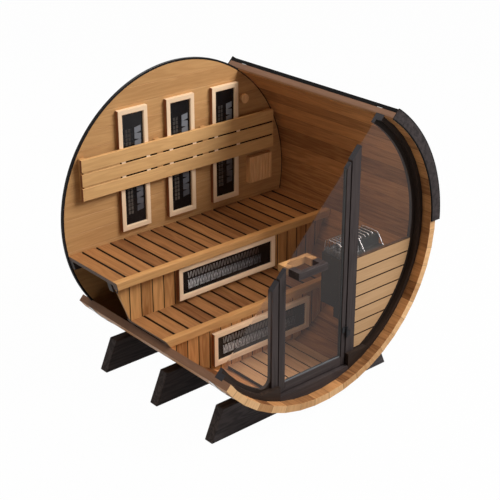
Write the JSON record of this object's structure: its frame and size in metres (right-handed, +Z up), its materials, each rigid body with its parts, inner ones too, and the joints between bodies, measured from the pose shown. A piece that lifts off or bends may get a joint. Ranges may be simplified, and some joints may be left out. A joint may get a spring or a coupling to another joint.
{
  "type": "cutaway barrel sauna",
  "caption": "Barrel sauna in cutaway form: a stave shell on cradles with two-tier benches, infrared panels, stove and a smoked glass front with a hinged door.",
  "frame": {"origin": "on the ground under the middle of the barrel, at the centre of the middle cradle's foot", "axes": "+X to the right seen from the glazed front, +Y from the front to the back along the barrel, +Z up"},
  "size_m": [2.0889, 1.66, 2.1287],
  "materials": {
    "shell_wood": "oiled cedar staves, clear grain",
    "wall_wood": "oiled cedar boards",
    "bench_wood": "planed cedar",
    "floor_wood": "planed cedar",
    "pale_wood": "pale planed softwood",
    "frame_wood": "pale aspen",
    "dark_wood": "near-black stain",
    "cradle_wood": "black stain, faint grain",
    "roofing": "black roof shingle",
    "dark_trim": "dark grey-brown coated trim",
    "hoop_steel": "brushed stainless steel",
    "smoked_glass": "smoke tinted",
    "heater_glass": "black emitter glass behind a fine grid",
    "stove_steel": "dark grey enamel",
    "stove_stone": "rough sauna stones",
    "stove_chrome": "bright wire",
    "hinge_metal": "black coated"
  },
  "bodies": {
    "sauna": {"back_wall": "wall_wood", "back_wall_rim": "dark_trim", "backrest_battens": "wall_wood", "backrest_boards": "wall_wood", "cradle_back": "cradle_wood", "cradle_front": "cradle_wood", "cradle_middle": "cradle_wood", "door_sill": "dark_wood", "floor_boards": "floor_wood", "floor_joists": "floor_wood", "front_boards": "pale_wood", "front_ring_left": "dark_wood", "front_ring_right": "dark_wood", "hinge_bracket": "hinge_metal", "hoops": "hoop_steel", "lamp_shade": "wall_wood", "left_post": "dark_wood", "lower_bench_bearers": "bench_wood", "lower_bench_nosing": "bench_wood", "lower_bench_skirt": "bench_wood", "lower_bench_slats": "bench_wood", "lower_skirt_heater_frame": "frame_wood", "lower_skirt_heater_panel": "heater_glass", "right_post": "dark_wood", "roof_cover": "roofing", "roof_fascia_back": "dark_trim", "roof_fascia_front": "dark_trim", "side_panes": "smoked_glass", "staves_even": "shell_wood", "staves_odd": "shell_wood", "stove_cabinet": "stove_steel", "stove_guard": "stove_chrome", "stove_stones": "stove_stone", "upper_bench_bearers": "bench_wood", "upper_bench_nosing": "bench_wood", "upper_bench_skirt": "bench_wood", "upper_bench_slats": "bench_wood", "upper_skirt_heater_frame": "frame_wood", "upper_skirt_heater_panel": "heater_glass", "vent_knob": "wall_wood", "wall_heater_frame": "frame_wood", "wall_heater_panel": "heater_glass"},
    "door": {"door_left_stile": "dark_wood", "door_right_stile": "dark_wood", "door_bottom_rail": "dark_wood", "door_glass": "smoked_glass", "hinge_plate": "hinge_metal", "handle_outside": "dark_wood", "handle_inside": "pale_wood"}
  },
  "joints": [
    {"name": "door_hinge", "type": "hinge", "parent": "sauna", "child": "door", "pos_m": [0.31, -0.727, 0.4655], "axis": [0, 0, 1], "range_deg": [0, 100]}
  ]
}
